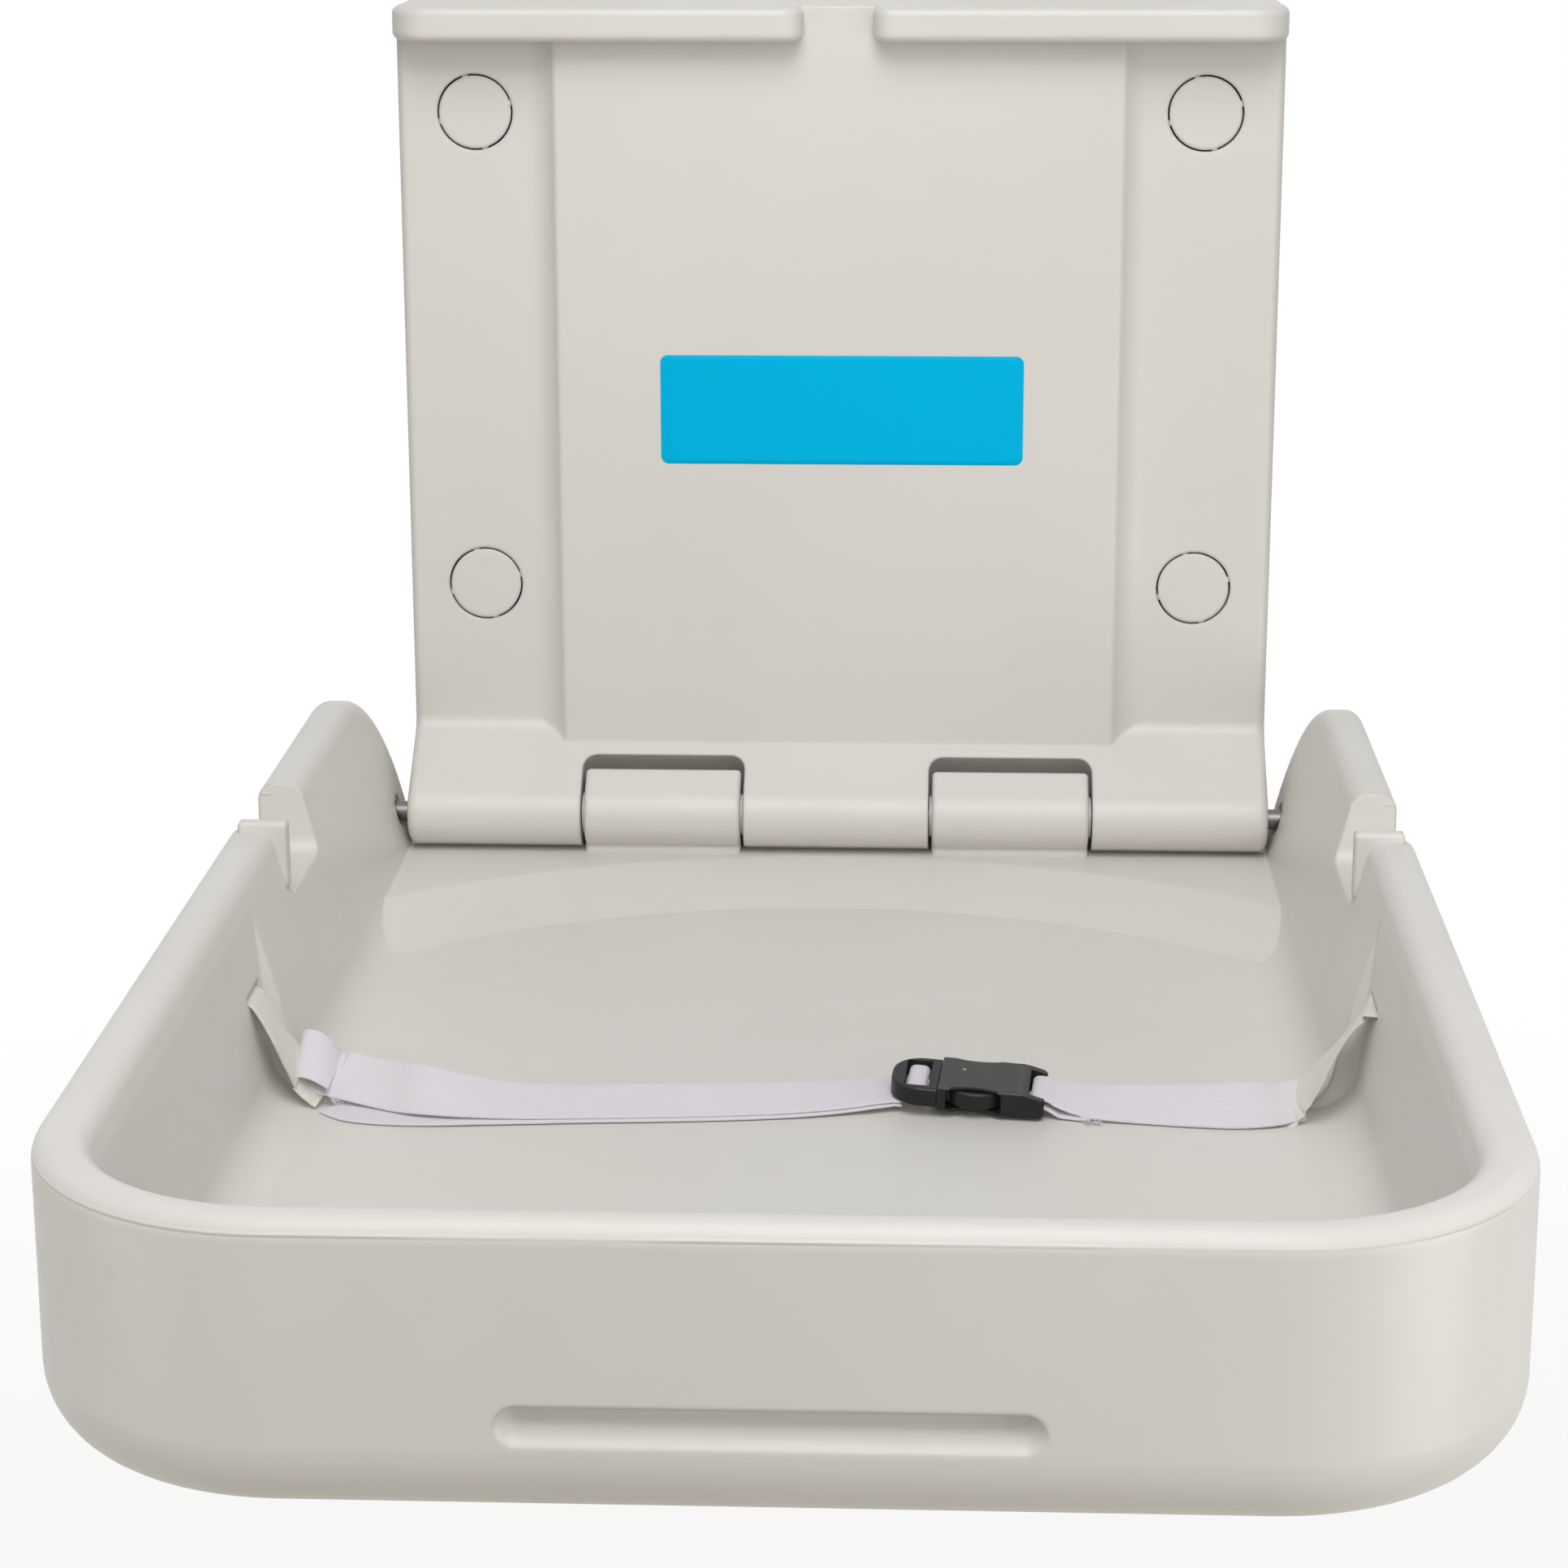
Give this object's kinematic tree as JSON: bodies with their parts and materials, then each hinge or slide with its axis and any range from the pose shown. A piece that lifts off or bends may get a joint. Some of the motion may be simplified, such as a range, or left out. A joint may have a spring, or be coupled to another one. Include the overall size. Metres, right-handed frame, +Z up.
{
  "type": "wall-mounted changing table",
  "caption": "Fold-down changing table for a wall: moulded wall panel, deep moulded bed on a full-width hinge, and a safety belt with a side-release buckle.",
  "frame": {"origin": "middle of the four wall bolts, in the plane of the panel's back face", "axes": "+X to the right for a person who faces the wall, +Y into the wall, +Z up"},
  "size_m": [0.556, 0.844, 0.4765],
  "materials": {
    "moulding": "fine moulded texture",
    "bush_plastic": "smooth",
    "zinc_steel": "zinc plated",
    "bright_steel": "bright drawn bar",
    "cream_webbing": "woven",
    "lilac_webbing": "woven",
    "buckle_plastic": "satin"
  },
  "bodies": {
    "wall_unit": {"wall_panel": "moulding", "bolt_cap_upper_left": "moulding", "bolt_cap_upper_right": "moulding", "bolt_cap_lower_left": "moulding", "bolt_cap_lower_right": "moulding", "strap_plate_left": "zinc_steel", "strap_plate_right": "zinc_steel", "bolt_washers": "zinc_steel", "hinge_rod": "bright_steel"},
    "bed": {"bed_shell": "moulding", "lug_bush_left_inner": "bush_plastic", "lug_bush_left_outer": "bush_plastic", "lug_bush_right_inner": "bush_plastic", "lug_bush_right_outer": "bush_plastic", "ear_bush_left": "bush_plastic", "ear_bush_right": "bush_plastic", "rod_end_cap_left": "moulding", "rod_end_cap_right": "moulding", "belt_keeper_left": "bright_steel", "belt_keeper_right": "bright_steel", "anchor_web_left": "cream_webbing", "anchor_web_right": "cream_webbing", "belt_left": "lilac_webbing", "belt_tail": "lilac_webbing", "belt_right": "lilac_webbing", "buckle_plug": "buckle_plastic", "buckle_socket": "buckle_plastic"},
    "prong_front": {"buckle_prong_front": "buckle_plastic"},
    "prong_rear": {"buckle_prong_rear": "buckle_plastic"}
  },
  "joints": [
    {"name": "bed_fold", "type": "hinge", "parent": "wall_unit", "child": "bed", "pos_m": [0, -0.08, -0.2485], "axis": [-1, 0, 0], "range_deg": [0, 90]},
    {"name": "prong_front_press", "type": "hinge", "parent": "bed", "child": "prong_front", "pos_m": [0.05969, -0.45289, -0.27084], "axis": [0.0436, -0.0871, 0.9952], "range_deg": [0, 12], "stiffness_Nm_per_rad": 0.3},
    {"name": "prong_rear_press", "type": "hinge", "parent": "bed", "child": "prong_rear", "pos_m": [0.06143, -0.43303, -0.26918], "axis": [-0.0436, 0.0871, -0.9952], "range_deg": [0, 12], "stiffness_Nm_per_rad": 0.3}
  ],
  "couplings": [
    {"joint": "prong_rear_press", "follows": "prong_front_press", "ratio": 1}
  ]
}
